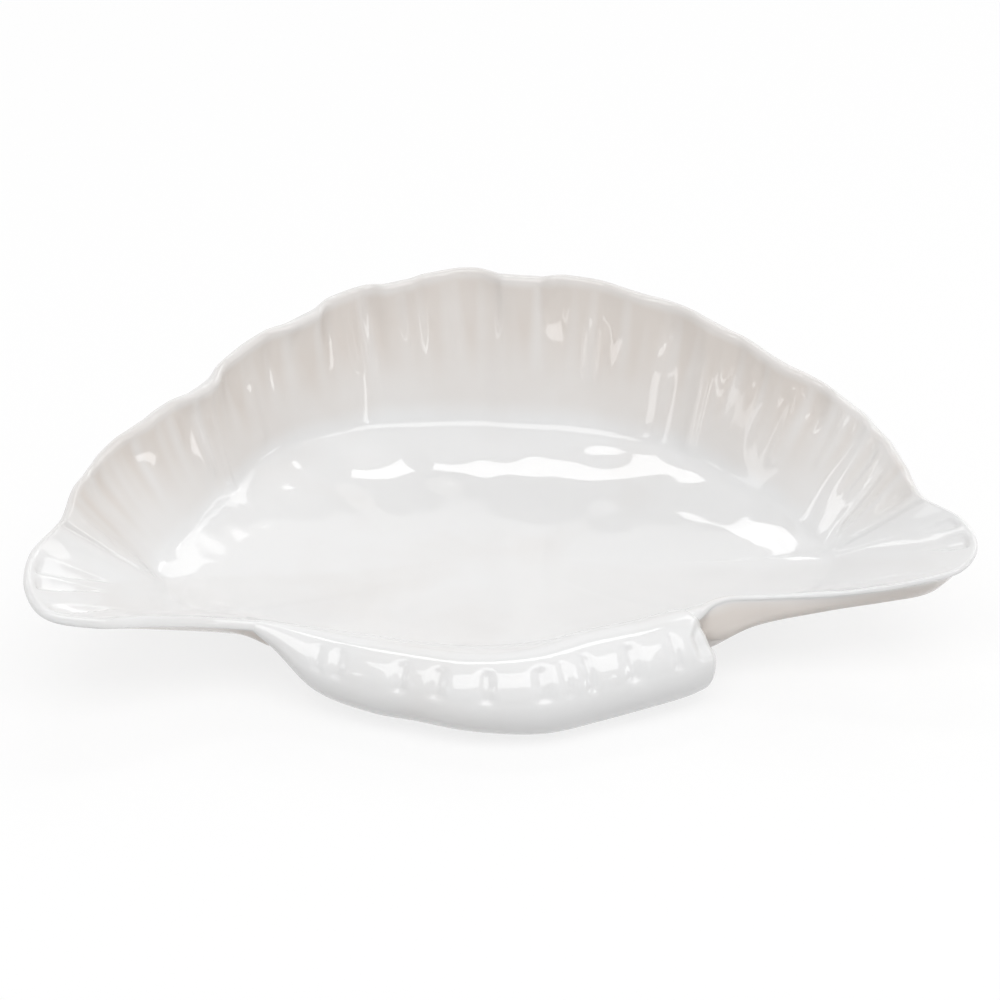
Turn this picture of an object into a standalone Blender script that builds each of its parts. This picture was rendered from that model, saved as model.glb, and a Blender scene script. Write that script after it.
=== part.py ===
# Scallop shell trinket dish in glazed stoneware.
# A fluted fan bowl with two ears, a ribbed hinge roll along its front lip, and a bare foot ring underneath.
# X runs from ear to ear, Y from the hinge to the back rim, Z up. Lengths are in metres.

import math
from types import SimpleNamespace

import bmesh
import bpy
import numpy as np

# Driving dimensions, measured from the middle of the floor and from the table
SPAN_LEFT = 0.0910          # floor middle to the left ear's edge
SPAN_RIGHT = 0.0852         # floor middle to the right ear's edge
HINGE_SETBACK = 0.0420      # floor middle forward to the hinge line, where the ribs fan out
EAR_CHORD = 0.0340          # hinge line back to where an ear runs out into the fan
FAN_REACH_BACK = 0.0976     # hinge to the rim, straight back
FAN_REACH_SIDE = 0.0834     # hinge to the rim, next to the ears
WALL_RUN = 0.0150           # how far the wall leans out between floor and rim
RIM_HEIGHT_BACK = 0.0416
RIM_HEIGHT_SIDE = 0.0300
EAR_HEIGHT = 0.0278
LIP_HEIGHT = 0.0159
LIP_LEFT = 0.0395           # floor middle to the left end of the hinge lip
LIP_RIGHT = 0.0330          # floor middle to the right end of the hinge lip
LIP_SWELL = 0.0116          # how far the lip bows forward of the hinge line
FLOOR_MIDDLE_HEIGHT = 0.0066
FLOOR_HEIGHT_BACK = 0.0140  # height of the floor's edge, under the back wall
FLOOR_HEIGHT_SIDE = 0.0125  # the same at the ears
FLOOR_HEIGHT_LIP = 0.0112   # the same behind the hinge lip
COVE = 0.0011               # softness of the corner between floor and wall
WALL = 0.0032
RIM_ROUND = 0.0012
RIB_DEPTH_BACK = 0.0024     # how far the ribs stand in from the flutes, at the back rim
RIB_DEPTH_SIDE = 0.0010     # the same next to the ears
ROLL_RADIUS = 0.0083        # half the height of the hinge roll, where it is thickest
ROLL_RIB_DEPTH = 0.0007
ROLL_RIB_PITCH = 0.0078
FOOT_LENGTH = 0.0860
FOOT_DEPTH = 0.0520
FOOT_BAND = 0.0060
FOOT_DRAFT = 0.0008
FOOT_ROUND = 0.0005
FIT_GAP = 0.0003

# Fineness of the mesh
STEPS_AROUND = 150
STEPS_WALL = 8
STEPS_ROLL = 10
STEPS_FOOT = 72

# Fan ribs, as degrees about the hinge, counted from the right
RIB_ANGLES = (24.5, 32, 40, 49, 59, 69, 84, 98.5, 112.5, 130, 143, 154)
RIB_FADE = 5                # degrees either side of the outermost ribs in which they fade out
RIB_FOOT_SHARE = 0.3        # share of a rib's depth at its foot, where the wall leaves the floor
LEAST_LEAN = 0.3            # lean of the wall below which its ribs fade out
FLOOR_DISHING = 2.6         # power of the floor's rise from its middle to its edge
ROLL_OVERHANG = 1.05        # how far the roll stands out in front of the lip, as a share of its radius

# Rim of the fan: degrees about the hinge, then shares from the side size to the back size
# of the reach, the height and the floor edge's height, and the share of the wall's run
FAN_OUTLINE = (
    (24, 0.00, 0.00, 0.20, 1.03),
    (36, 0.18, 0.24, 0.33, 1.01),
    (48, 0.20, 0.48, 0.47, 0.84),
    (62, 0.54, 0.76, 0.87, 0.85),
    (77, 0.84, 0.95, 1.00, 1.07),
    (92, 1.00, 1.00, 1.00, 0.97),
    (106, 0.93, 0.84, 1.53, 0.75),
    (119, 0.62, 0.59, 1.53, 0.43),
    (132, 0.30, 0.34, 0.47, 0.47),
    (147, 0.35, 0.22, 0.07, 0.80),
)

# Ears: shares of the span and of the ear's chord, share of the height from lip to ear,
# then the floor's edge in the same shares of span and chord
LEFT_EAR_OUTLINE = (
    (0.900, 1.00, 1.29, 0.755, 0.955),
    (0.930, 0.72, 1.13, 0.735, 0.825),
    (0.990, 0.43, 1.07, 0.720, 0.690),
    (1.000, 0.12, 1.00, 0.690, 0.590),
    (0.965, -0.08, 0.92, 0.660, 0.515),
    (0.880, -0.10, 0.76, 0.605, 0.455),
    (0.770, -0.01, 0.58, 0.540, 0.395),
    (0.650, 0.08, 0.34, 0.480, 0.340),
    (0.520, 0.11, 0.13, 0.425, 0.280),
)
RIGHT_EAR_OUTLINE = (
    (0.415, 0.05, 0.10, 0.385, 0.220),
    (0.460, 0.10, 0.12, 0.425, 0.240),
    (0.540, 0.07, 0.21, 0.480, 0.265),
    (0.705, -0.04, 0.45, 0.580, 0.325),
    (0.855, -0.13, 0.71, 0.670, 0.395),
    (0.955, -0.12, 0.90, 0.710, 0.495),
    (1.000, 0.05, 0.98, 0.735, 0.580),
    (0.985, 0.30, 1.02, 0.745, 0.665),
    (0.925, 0.58, 0.98, 0.745, 0.745),
)

# Hinge lip: share of its left or right length, share of its swell, share of the height from lip to ear,
# how far behind it the floor ends as a share of the swell, and the share of the roll's radius
LIP_OUTLINE = (
    (-1.00, -0.22, 0.00, 0.42, 0.63),
    (-0.71, 0.28, 0.00, 0.66, 0.81),
    (-0.51, 0.63, 0.01, 0.84, 0.83),
    (-0.27, 0.97, 0.04, 1.05, 0.88),
    (0.05, 1.00, 0.09, 1.05, 0.94),
    (0.36, 0.71, 0.14, 0.84, 0.99),
    (0.67, 0.50, 0.16, 0.76, 1.00),
    (0.89, 0.26, 0.14, 0.69, 0.99),
    (1.00, 0.03, 0.12, 0.59, 0.87),
)
LIP_FLOOR_SHARE = 0.91      # how far along the lip's length the floor's edge reaches
ROLL_STARTS_AT = 0.5        # share of the roll's radius at which its blunt ends are cut
FLOOR_RINGS = (0.86, 0.60, 0.36, 0.14)  # places of the floor's rings, as shares of the way in from its edge


def mix(start, end, share):
    return start + (end - start) * share


def ease(low, high, value):
    # smooth step from 0 at low to 1 at high
    share = np.clip((value - low) / (high - low), 0.0, 1.0)
    return share * share * (3.0 - 2.0 * share)


def soft_corner(distance):
    # 0 far before a corner and the distance itself far past it, with a rounded bend of COVE between
    return COVE * np.logaddexp(0.0, distance / COVE)


def floor_level(along, edge_height):
    # height of the floor, a dish, at a share of the way from its middle to its edge
    return mix(FLOOR_MIDDLE_HEIGHT, edge_height, np.clip(along, 0.0, None) ** FLOOR_DISHING)


def fan_stations():
    rows = []
    for angle, reach_share, height_share, floor_share, run_share in FAN_OUTLINE:
        reach = mix(FAN_REACH_SIDE, FAN_REACH_BACK, reach_share)
        floor = reach - WALL_RUN * run_share
        across = math.cos(math.radians(angle))
        back = math.sin(math.radians(angle))
        rows.append((reach * across, reach * back - HINGE_SETBACK,
                     mix(RIM_HEIGHT_SIDE, RIM_HEIGHT_BACK, height_share),
                     floor * across, floor * back - HINGE_SETBACK,
                     mix(FLOOR_HEIGHT_SIDE, FLOOR_HEIGHT_BACK, floor_share), 0.0))
    return rows


def ear_stations(outline, span):
    rows = []
    for x, y, height, floor_x, floor_y in outline:
        floor_height = mix(FLOOR_HEIGHT_LIP, FLOOR_HEIGHT_SIDE, min(height, 1.0))
        rows.append((x * span, y * EAR_CHORD - HINGE_SETBACK, mix(LIP_HEIGHT, EAR_HEIGHT, height),
                     floor_x * span, floor_y * EAR_CHORD - HINGE_SETBACK, floor_height, 0.0))
    return rows


def lip_stations():
    rows = []
    for x, swell, height, lean, roll in LIP_OUTLINE:
        across = x * (LIP_LEFT if x < 0.0 else LIP_RIGHT)
        front = -HINGE_SETBACK - swell * LIP_SWELL
        rows.append((across, front, mix(LIP_HEIGHT, EAR_HEIGHT, height),
                     across * LIP_FLOOR_SHARE, front + lean * LIP_SWELL, FLOOR_HEIGHT_LIP, roll))
    return rows


def closed_curve(points, count):
    # smooth closed curve through the points, evenly stepped in the square root of their spacing
    ring = np.vstack([points[-1:], points, points[:2]])
    steps = np.sqrt(np.linalg.norm(np.diff(ring[:, :3], axis=0), axis=1))
    slopes = np.diff(ring, axis=0) / steps[:, None]
    before = steps[:-1, None]
    after = steps[1:, None]
    tangents = (after * slopes[:-1] + before * slopes[1:]) / (before + after)
    tangents = np.vstack([tangents, tangents[:1]])
    knots = np.concatenate([[0.0], np.cumsum(steps[1:-1])])
    places = np.linspace(0.0, knots[-1], count, endpoint=False)
    piece = np.clip(np.searchsorted(knots, places, side="right") - 1, 0, len(points) - 1)
    length = (knots[piece + 1] - knots[piece])[:, None]
    t = (places - knots[piece])[:, None] / length
    return ((2 * t**3 - 3 * t**2 + 1) * ring[piece + 1] + (t**3 - 2 * t**2 + t) * length * tangents[piece]
            + (3 * t**2 - 2 * t**3) * ring[piece + 2] + (t**3 - t**2) * length * tangents[piece + 1])


def grid_normals(grid):
    # upward unit normals of a grid that is closed around its first index
    around = np.roll(grid, -1, axis=0) - np.roll(grid, 1, axis=0)
    outward = np.gradient(grid, axis=1)
    normals = np.cross(outward, around)
    return normals / np.linalg.norm(normals, axis=2, keepdims=True)


def flutes(rim):
    # inward rib height along the rim: a cosine wave with one crest on each rib angle, fading at the ears
    angle = np.degrees(np.arctan2(rim[:, 1] + HINGE_SETBACK, rim[:, 0]))
    count = np.interp(angle, RIB_ANGLES, np.arange(len(RIB_ANGLES)))
    wave = 0.5 + 0.5 * np.cos(2.0 * math.pi * count)
    depth = mix(RIB_DEPTH_SIDE, RIB_DEPTH_BACK, np.sin(np.radians(angle)) ** 2)
    past_first = ease(RIB_ANGLES[0] - RIB_FADE, RIB_ANGLES[0] + RIB_FADE, angle)
    past_last = ease(RIB_ANGLES[-1] - RIB_FADE, RIB_ANGLES[-1] + RIB_FADE, angle)
    return depth * wave * (past_first - past_last)


def bowl_surface():
    # inside of the bowl: each section runs along the floor, bends up in the cove and climbs to the rim
    right_ear = np.array(ear_stations(RIGHT_EAR_OUTLINE, SPAN_RIGHT))
    left_ear = np.array(ear_stations(LEFT_EAR_OUTLINE, SPAN_LEFT)) * (-1, 1, 1, -1, 1, 1, 1)
    curve = closed_curve(np.vstack([fan_stations(), left_ear, lip_stations(), right_ear]), STEPS_AROUND)
    rim = curve[:, :3]
    edge = curve[:, 3:6]
    roll = np.clip(curve[:, 6], 0.0, 1.0)
    floor_length = np.linalg.norm(edge[:, :2], axis=1)[:, None]
    climb = rim - edge
    climb_length = np.linalg.norm(climb, axis=1)[:, None]
    on_floor = -np.array(FLOOR_RINGS)[None, :] * floor_length
    on_wall = np.linspace(0.0, 1.0, STEPS_WALL)[None, :] * climb_length
    distance = np.concatenate([on_floor, on_wall], axis=1)
    along = 1.0 - soft_corner(-distance) / floor_length
    up = soft_corner(distance) / climb_length
    crest = 1.0 - (1.0 - np.clip(up, 0.0, 1.0)) ** 2
    rise = mix(up, crest, roll[:, None])
    x = edge[:, :1] * along + climb[:, :1] * up
    y = edge[:, 1:2] * along + climb[:, 1:2] * up
    z = floor_level(along, edge[:, 2:]) + climb[:, 2:] * rise
    grid = np.stack([x, y, z], axis=2)
    return SimpleNamespace(grid=grid, normals=grid_normals(grid), up=up, edge=edge, roll=roll)


def new_part(name, points, faces, material, collection):
    mesh = bpy.data.meshes.new(name)
    mesh.from_pydata(points.reshape(-1, 3).tolist(), [], faces)
    body = bmesh.new()
    body.from_mesh(mesh)
    bmesh.ops.recalc_face_normals(body, faces=body.faces)
    body.to_mesh(mesh)
    body.free()
    mesh.shade_smooth()
    mesh.set_sharp_from_angle(angle=math.radians(40))
    mesh.materials.append(material)
    part = bpy.data.objects.new(name, mesh)
    collection.objects.link(part)
    return part


def quads(rows, columns, start=0, closed_around=True, closed_across=False):
    # four-sided faces through a grid of points, numbered from start
    faces = []
    for row in range(rows if closed_around else rows - 1):
        after = (row + 1) % rows
        for column in range(columns if closed_across else columns - 1):
            beside = (column + 1) % columns
            faces.append((start + row * columns + column, start + row * columns + beside,
                          start + after * columns + beside, start + after * columns + column))
    return faces


def round_edges(part, width, segments, angle):
    bevel = part.modifiers.new("rounded edges", "BEVEL")
    bevel.width = width
    bevel.segments = segments
    bevel.limit_method = "ANGLE"
    bevel.angle_limit = math.radians(angle)
    bevel.use_clamp_overlap = True


def make_bowl(surface, material, collection):
    # the inside surface, ribbed level on its walls and thickened away from the hollow
    ribs = flutes(surface.grid[:, -1])[:, None] * mix(RIB_FOOT_SHARE, 1.0, ease(0.0, 1.0, surface.up))
    ribs[:, :len(FLOOR_RINGS)] = 0.0
    level = surface.normals * (1.0, 1.0, 0.0)
    level /= np.maximum(np.linalg.norm(level, axis=2, keepdims=True), LEAST_LEAN)
    inside = surface.grid + level * ribs[:, :, None]
    rows, columns = inside.shape[:2]
    middle = tuple(row * columns for row in range(rows))
    bowl = new_part("shell_bowl", inside, quads(rows, columns) + [middle], material, collection)
    if bowl.data.polygons[-1].normal.z < 0.0:
        bowl.data.flip_normals()
    shell = bowl.modifiers.new("wall thickness", "SOLIDIFY")
    shell.thickness = WALL
    shell.offset = -1.0
    shell.use_even_offset = True
    shell.use_quality_normals = True
    round_edges(bowl, RIM_ROUND, 2, 55)
    return bowl


def make_roll(surface, material, collection):
    # a ribbed roll luted under and in front of the lip: a bed on the bowl's outside and a round skin
    carried = np.flatnonzero(surface.roll > ROLL_STARTS_AT)
    wall = slice(len(FLOOR_RINGS), None)
    lip = surface.grid[carried, wall]
    normals = surface.normals[carried, wall]
    share = surface.roll[carried, None]
    lean = ease(0.0, 1.0, surface.up[carried, wall])
    hang = 2.0 * ROLL_RADIUS * share - WALL - FIT_GAP
    bulk = mix(WALL / 3.0, hang, lean)
    seat = lip - normals * (WALL + FIT_GAP)
    under = seat - normals * bulk[:, :, None]
    crest = lip[:, -1]
    ahead = crest - lip[:, -2]
    ahead /= np.linalg.norm(ahead, axis=1, keepdims=True)
    clear = ahead * FIT_GAP
    seat[:, -1] += clear
    under[:, -1] += clear
    walk = np.cumsum(np.linalg.norm(np.diff(crest, axis=0, prepend=crest[:1]), axis=1))
    ribs = ROLL_RIB_DEPTH * np.cos(2.0 * math.pi * walk / ROLL_RIB_PITCH)
    half = (crest + clear - under[:, -1]) / 2.0
    turn = np.linspace(math.pi, 0.0, STEPS_ROLL + 1)[1:]
    reach = (ROLL_RADIUS * ROLL_OVERHANG * share + ribs[:, None] * np.sin(turn) ** 2) * np.sin(turn)
    front = (under[:, -1] + half)[:, None] + half[:, None] * np.cos(turn)[None, :, None]
    front += ahead[:, None] * reach[:, :, None]
    height = np.linspace(0.0, 1.0, STEPS_ROLL + 1, endpoint=False)[1:]
    edge = mix(seat[:, -1:], (crest + clear)[:, None], height[None, :, None])
    skin = np.concatenate([under, front], axis=1)
    bed = np.concatenate([seat, edge], axis=1)
    rows, columns = skin.shape[:2]
    size = rows * columns
    faces = quads(rows, columns, closed_around=False) + quads(rows, columns, size, closed_around=False)
    rim = [row * columns for row in range(rows)]
    rim += [(rows - 1) * columns + column for column in range(1, columns)]
    rim += [row * columns + columns - 1 for row in range(rows - 2, -1, -1)]
    rim += [column for column in range(columns - 2, 0, -1)]
    faces += [(a, b, b + size, a + size) for a, b in zip(rim, rim[1:] + rim[:1])]
    return new_part("hinge_roll", np.concatenate([skin, bed]), faces, material, collection)


def make_foot(surface, material, collection):
    # a bare oval ring, flat below and seated under the bowl's floor
    angle = np.linspace(-math.pi, math.pi, STEPS_FOOT, endpoint=False)
    outline = np.column_stack([np.cos(angle) * FOOT_LENGTH, np.sin(angle) * FOOT_DEPTH]) / 2.0
    inward = -np.column_stack([np.cos(angle) * FOOT_DEPTH, np.sin(angle) * FOOT_LENGTH])
    inward /= np.linalg.norm(inward, axis=1, keepdims=True)
    edge_angle = np.arctan2(surface.edge[:, 1], surface.edge[:, 0])
    edge_reach = np.linalg.norm(surface.edge[:, :2], axis=1)
    corners = ((0.0, False), (FOOT_DRAFT, True), (FOOT_BAND - FOOT_DRAFT, True), (FOOT_BAND, False))
    sides = []
    for inset, on_table in corners:
        place = outline + inward * inset
        bearing = np.arctan2(place[:, 1], place[:, 0])
        reach = np.interp(bearing, edge_angle, edge_reach, period=2.0 * math.pi)
        edge_height = np.interp(bearing, edge_angle, surface.edge[:, 2], period=2.0 * math.pi)
        along = np.linalg.norm(place, axis=1) / reach
        bed = floor_level(along, edge_height) - WALL - FIT_GAP
        sides.append(np.column_stack([place, np.zeros(STEPS_FOOT) if on_table else bed]))
    ring = np.stack(sides, axis=1)
    faces = quads(STEPS_FOOT, len(sides), closed_across=True)
    foot = new_part("foot_ring", ring, faces, material, collection)
    round_edges(foot, FOOT_ROUND, 1, 40)
    return foot


def ceramic(name, colour, roughness):
    material = bpy.data.materials.new(name)
    material.use_nodes = True
    shader = material.node_tree.nodes["Principled BSDF"]
    shader.inputs["Base Color"].default_value = (*colour, 1.0)
    shader.inputs["Roughness"].default_value = roughness
    shader.inputs["Metallic"].default_value = 0.0
    return material


def stand_on_origin(parts):
    # the origin is the middle of the dish's box, on the table
    view = bpy.context.evaluated_depsgraph_get()
    corners = np.array([corner[:] for part in parts for corner in part.evaluated_get(view).bound_box])
    low = corners.min(axis=0)
    high = corners.max(axis=0)
    for part in parts:
        part.location = (-(low[0] + high[0]) / 2.0, -(low[1] + high[1]) / 2.0, -low[2])


def main():
    for thing in list(bpy.data.objects):
        bpy.data.objects.remove(thing)
    dish = bpy.data.collections.new("shell_trinket_dish")
    bpy.context.scene.collection.children.link(dish)
    glaze = ceramic("white glaze", (0.84, 0.82, 0.79), 0.08)
    bisque = ceramic("bare bisque", (0.72, 0.66, 0.57), 0.75)
    surface = bowl_surface()
    parts = [
        make_bowl(surface, glaze, dish),
        make_roll(surface, glaze, dish),
        make_foot(surface, bisque, dish),
    ]
    stand_on_origin(parts)


main()
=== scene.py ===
import math

import bpy
import numpy as np
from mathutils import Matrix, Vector


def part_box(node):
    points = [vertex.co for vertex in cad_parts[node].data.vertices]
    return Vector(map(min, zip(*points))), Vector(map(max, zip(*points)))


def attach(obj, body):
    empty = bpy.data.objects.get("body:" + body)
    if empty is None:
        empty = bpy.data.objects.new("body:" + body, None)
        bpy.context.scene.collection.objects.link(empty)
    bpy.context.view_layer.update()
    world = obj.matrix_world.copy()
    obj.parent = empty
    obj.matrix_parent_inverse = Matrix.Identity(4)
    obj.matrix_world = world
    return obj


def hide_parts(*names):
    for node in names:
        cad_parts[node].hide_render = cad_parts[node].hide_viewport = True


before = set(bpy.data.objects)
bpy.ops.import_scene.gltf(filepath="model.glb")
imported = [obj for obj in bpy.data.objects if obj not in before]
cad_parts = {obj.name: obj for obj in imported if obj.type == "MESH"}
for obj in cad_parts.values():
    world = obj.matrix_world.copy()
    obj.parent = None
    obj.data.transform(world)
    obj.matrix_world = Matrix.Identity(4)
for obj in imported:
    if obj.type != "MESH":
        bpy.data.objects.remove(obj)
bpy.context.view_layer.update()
mm = 0.001

footLow, footHigh = [np.array(corner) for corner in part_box("foot_ring")]
floorMiddle = (footLow + footHigh) / 2 * (1, 1, 0)    # the foot is centred under the floor's middle


def mix(start, end, share):
    return start + (end - start) * share


# smooth step: 0 at low, 1 at high, with a flat start and a flat end
def ease(low, high, value):
    share = np.clip((value - low) / (high - low), 0, 1)
    return share * share * (3 - 2 * share)


# bell: 1 at the middle, falling off on both sides over the given width
def bell(middle, width, value):
    return np.exp(-((value - middle) / width) ** 2)


# flat bump: 1 over a flat top, easing to 0 over its two sides
def flatBump(middle, flat, side, value):
    return 1 - ease(flat, flat + side, np.abs(value - middle))


# plateau: easing from 0 to 1 between the first two places and back to 0 between the last two
def plateau(places, value):
    start, full, fade, end = places
    return ease(start, full, value) * (1 - ease(fade, end, value))


# scoop: a flat hollow with a crisp edge, 1 in the middle and 0 from the edge on
def scoop(middle, half, value):
    return np.clip(1 - ((value - middle) / half) ** 4, 0, 1)


# unit vectors of an array's last index
def unit(vectors):
    return vectors / np.maximum(np.linalg.norm(vectors, axis=-1, keepdims=True), 1e-12)


# a smooth curve through the points, cubic between neighbours, at the given shares of its length;
# it also gives each step's place, counted in points
def smoothCurve(points, shares, closed):
    first = points[-1:] if closed else 2 * points[:1] - points[1:2]
    last = points[:2] if closed else 2 * points[-1:] - points[-2:-1]
    ring = np.vstack([first, points, last])
    chords = np.linalg.norm(np.diff(ring[:, :3], axis=0), axis=1)
    steps = np.sqrt(chords)
    slopes = np.diff(ring, axis=0) / steps[:, None]
    before, after = steps[:-1, None], steps[1:, None]
    tangents = (after * slopes[:-1] + before * slopes[1:]) / (before + after)
    knots = np.concatenate([[0], np.cumsum(steps[1:-1])])
    walked = np.concatenate([[0], np.cumsum(chords[1:-1])])
    places = np.interp(shares * walked[-1], walked, knots)
    piece = np.clip(np.searchsorted(knots, places, side="right") - 1, 0, len(knots) - 2)
    length = (knots[piece + 1] - knots[piece])[:, None]
    t = (places - knots[piece])[:, None] / length
    curve = ((2 * t**3 - 3 * t**2 + 1) * ring[piece + 1] + (t**3 - 2 * t**2 + t) * length * tangents[piece]
             + (3 * t**2 - 2 * t**3) * ring[piece + 2] + (t**3 - t**2) * length * tangents[piece + 1])
    return curve, piece + t[:, 0]


# unit normals of a grid closed around its first index, from the cross product of its two directions
def gridNormals(grid):
    around = np.roll(grid, -1, axis=0) - np.roll(grid, 1, axis=0)
    return unit(np.cross(np.gradient(grid, axis=1), around))


# mesh of a grid closed around its first index; the ends of its second index are drawn to a point each,
# or joined to each other
def meshFromGrid(name, grid, joined=False):
    rows, columns = grid.shape[:2]
    across = np.arange(columns if joined else columns - 1)
    row, column = np.meshgrid(np.arange(rows), across, indexing="ij")
    after, beside = (row + 1) % rows, (column + 1) % columns
    faces = np.stack([row * columns + column, row * columns + beside,
                      after * columns + beside, after * columns + column], axis=2).reshape(-1, 4).tolist()
    points = grid.reshape(-1, 3)
    if not joined:
        points = np.vstack([points, grid[:, 0].mean(axis=0), grid[:, -1].mean(axis=0)])
        pole = np.full(rows, rows * columns)
        start = np.arange(rows) * columns    # first point of each row
        following = np.roll(start, -1)
        end = columns - 1
        faces += np.column_stack([pole, start, following]).tolist()
        faces += np.column_stack([pole + 1, following + end, start + end]).tolist()
    mesh = bpy.data.meshes.new(name)
    mesh.from_pydata(points * mm + floorMiddle, [], faces)
    mesh.polygons.foreach_set("use_smooth", np.ones(len(mesh.polygons), bool))
    mesh.update()
    piece = bpy.data.objects.new(name, mesh)
    bpy.context.scene.collection.objects.link(piece)
    return piece


# glaze colour with painted light and shade in it, 0 for thin, creamy and shaded to 1 for thick and white,
# for each grid point, kept on the mesh for its material
def keepGlazeAndShading(piece, depth):
    attribute = piece.data.attributes.new("glazeAndShading", "FLOAT", "POINT")
    attribute.data.foreach_set("value", np.concatenate([depth.ravel(), [1, 1]]))    # the two poles lie flat


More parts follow.
